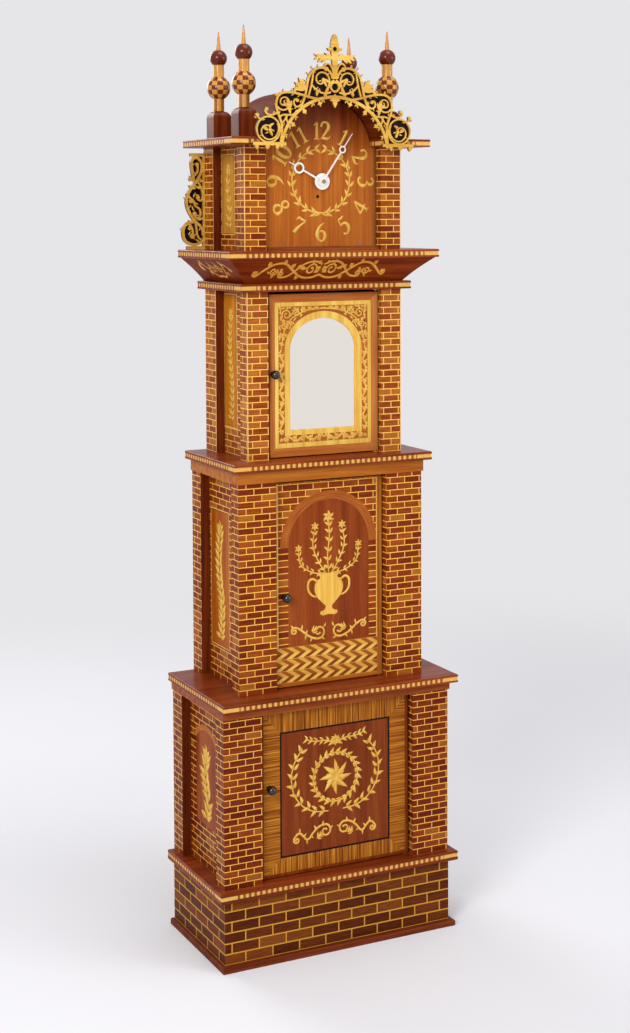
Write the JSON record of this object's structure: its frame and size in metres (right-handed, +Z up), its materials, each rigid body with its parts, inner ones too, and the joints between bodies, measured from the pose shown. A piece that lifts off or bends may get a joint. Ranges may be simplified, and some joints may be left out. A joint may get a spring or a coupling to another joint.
{
  "type": "tall case clock",
  "caption": "Tall case clock in stacked stages with a lower cupboard, two trunk doors, arched dial, hands, swinging pendulum, weight, pierced crest and turned finials",
  "frame": {"origin": "centre of the footprint's bounding rectangle, on the floor", "axes": "+Z up, the dial and doors face -Y, the flat back faces +Y, doors are hinged on the +X side"},
  "size_m": [0.6642, 0.3576, 2.3],
  "materials": {
    "mahogany": "polished red-brown veneer",
    "brick_marquetry": "polished veneer bricks with pale stringing",
    "marquetry_frame": "polished veneer with pale inlay",
    "light_wood": "satin pale wood",
    "turned_wood": "turned and polished wood",
    "dark_wood": "matt black-stained wood",
    "plain_wood": "plain sawn wood",
    "black_knob": "black polished wood",
    "mirror_glass": "silvered glass",
    "white_metal": "white enamelled metal",
    "steel": "bright steel",
    "brass": "lacquered brass",
    "gut_line": "twisted gut"
  },
  "bodies": {
    "case": {"base_moulding": "mahogany", "plinth_boards": "brick_marquetry", "plinth_cap": "mahogany", "lower_front_piers": "brick_marquetry", "lower_rear_piers": "brick_marquetry", "lower_side_panels": "brick_marquetry", "middle_front_piers": "brick_marquetry", "middle_rear_piers": "brick_marquetry", "middle_side_panels": "brick_marquetry", "upper_front_piers": "brick_marquetry", "upper_rear_piers": "brick_marquetry", "upper_side_panels": "brick_marquetry", "hood_front_piers": "brick_marquetry", "hood_rear_piers": "brick_marquetry", "hood_side_panels": "brick_marquetry", "back_boards": "plain_wood", "lower_frieze": "mahogany", "middle_frieze": "mahogany", "lower_cap": "mahogany", "middle_cap": "mahogany", "cornice_moulding": "mahogany", "cornice_cove": "mahogany", "cornice_top": "mahogany", "hood_top": "mahogany", "barrel_roof": "mahogany", "dial_board": "mahogany", "dial_battens": "plain_wood", "dial_sill": "mahogany", "crest": "light_wood", "side_frets": "light_wood", "fret_backings": "dark_wood", "finial_pedestals": "brick_marquetry", "front_finials": "turned_wood", "rear_finials": "turned_wood", "door_pivots": "steel", "seatboard": "plain_wood", "movement_frame": "brass", "weight_line": "gut_line"},
    "lower_door": {"lower_door_frame": "mahogany", "lower_door_panel": "brick_marquetry"},
    "middle_door": {"middle_door": "brick_marquetry"},
    "upper_door": {"upper_door_frame": "marquetry_frame", "upper_door_mirror": "mirror_glass"},
    "lower_knob": {"lower_knob": "black_knob"},
    "middle_knob": {"middle_knob": "black_knob"},
    "upper_knob": {"upper_knob": "black_knob"},
    "minute_train": {"centre_arbor": "steel", "minute_hand": "white_metal"},
    "hour_train": {"hour_wheel": "brass", "hour_hand": "white_metal"},
    "motion_wheel": {"motion_wheel": "brass"},
    "great_wheel": {"great_wheel": "brass"},
    "third_wheel": {"third_wheel": "brass"},
    "escape_wheel": {"escape_wheel": "brass"},
    "anchor": {"anchor": "steel"},
    "pendulum": {"pendulum_rod": "steel", "pendulum_bob": "brass"},
    "weight": {"weight": "brass"},
    "pulley": {"pulley": "brass"},
    "drum": {"drum": "brass"}
  },
  "joints": [
    {"name": "lower_door_swing", "type": "hinge", "parent": "case", "child": "lower_door", "pos_m": [0.2048, -0.1227, 0.40525], "axis": [0, 0, 1], "range_deg": [0, 90]},
    {"name": "lower_knob_turn", "type": "hinge", "parent": "lower_door", "child": "lower_knob", "pos_m": [-0.1833, -0.1272, 0.425], "axis": [0, 1, 0], "range_deg": [0, 90]},
    {"name": "middle_door_swing", "type": "hinge", "parent": "case", "child": "middle_door", "pos_m": [0.1477, -0.0894, 0.919], "axis": [0, 0, 1], "range_deg": [0, 90]},
    {"name": "middle_knob_turn", "type": "hinge", "parent": "middle_door", "child": "middle_knob", "pos_m": [-0.1242, -0.0939, 0.889], "axis": [0, 1, 0], "range_deg": [0, 90]},
    {"name": "upper_door_swing", "type": "hinge", "parent": "case", "child": "upper_door", "pos_m": [0.1509, -0.0641, 1.438], "axis": [0, 0, 1], "range_deg": [0, 90]},
    {"name": "upper_knob_turn", "type": "hinge", "parent": "upper_door", "child": "upper_knob", "pos_m": [-0.1399, -0.0686, 1.442], "axis": [0, 1, 0], "range_deg": [0, 90]},
    {"name": "minute_hand_turn", "type": "hinge", "parent": "case", "child": "minute_train", "pos_m": [0, -0.0262, 1.918], "axis": [0, 1, 0], "continuous": true},
    {"name": "hour_hand_turn", "type": "hinge", "parent": "case", "child": "hour_train", "pos_m": [0, -0.0262, 1.918], "axis": [0, 1, 0], "continuous": true},
    {"name": "motion_wheel_turn", "type": "hinge", "parent": "case", "child": "motion_wheel", "pos_m": [0.0168, -0.0262, 1.918], "axis": [0, 1, 0], "continuous": true},
    {"name": "great_wheel_turn", "type": "hinge", "parent": "case", "child": "great_wheel", "pos_m": [-0.009, -0.0232, 1.8805], "axis": [0, 1, 0], "continuous": true},
    {"name": "third_wheel_turn", "type": "hinge", "parent": "case", "child": "third_wheel", "pos_m": [0.0126, -0.0232, 1.93982], "axis": [0, 1, 0], "continuous": true},
    {"name": "escape_wheel_turn", "type": "hinge", "parent": "case", "child": "escape_wheel", "pos_m": [0, -0.0232, 1.95587], "axis": [0, 1, 0], "continuous": true},
    {"name": "pendulum_swing", "type": "hinge", "parent": "case", "child": "pendulum", "pos_m": [0, 0.0548, 1.97849], "axis": [0, 1, 0], "range_deg": [-3, 3]},
    {"name": "anchor_rock", "type": "hinge", "parent": "case", "child": "anchor", "pos_m": [0, 0.0548, 1.97849], "axis": [0, 1, 0], "range_deg": [-3, 3]},
    {"name": "weight_travel", "type": "slide", "parent": "case", "child": "weight", "axis": [0, 0, 1], "range_m": [0, 0.85], "deforming": ["weight_line"]},
    {"name": "pulley_turn", "type": "hinge", "parent": "weight", "child": "pulley", "pos_m": [-0.0416, -0.0022, 0.905], "axis": [0, 1, 0], "continuous": true},
    {"name": "drum_turn", "type": "hinge", "parent": "case", "child": "drum", "pos_m": [-0.009, -0.0022, 1.8805], "axis": [0, 1, 0], "continuous": true}
  ],
  "couplings": [
    {"joint": "hour_hand_turn", "follows": "minute_hand_turn", "ratio": 0.083333},
    {"joint": "motion_wheel_turn", "follows": "minute_hand_turn", "ratio": -0.33333},
    {"joint": "great_wheel_turn", "follows": "minute_hand_turn", "ratio": -0.083333},
    {"joint": "third_wheel_turn", "follows": "minute_hand_turn", "ratio": -8},
    {"joint": "escape_wheel_turn", "follows": "minute_hand_turn", "ratio": 60},
    {"joint": "anchor_rock", "follows": "pendulum_swing", "ratio": 1},
    {"joint": "drum_turn", "follows": "weight_travel", "rad_per_m": 115.61},
    {"joint": "pulley_turn", "follows": "weight_travel", "rad_per_m": -65.359}
  ]
}
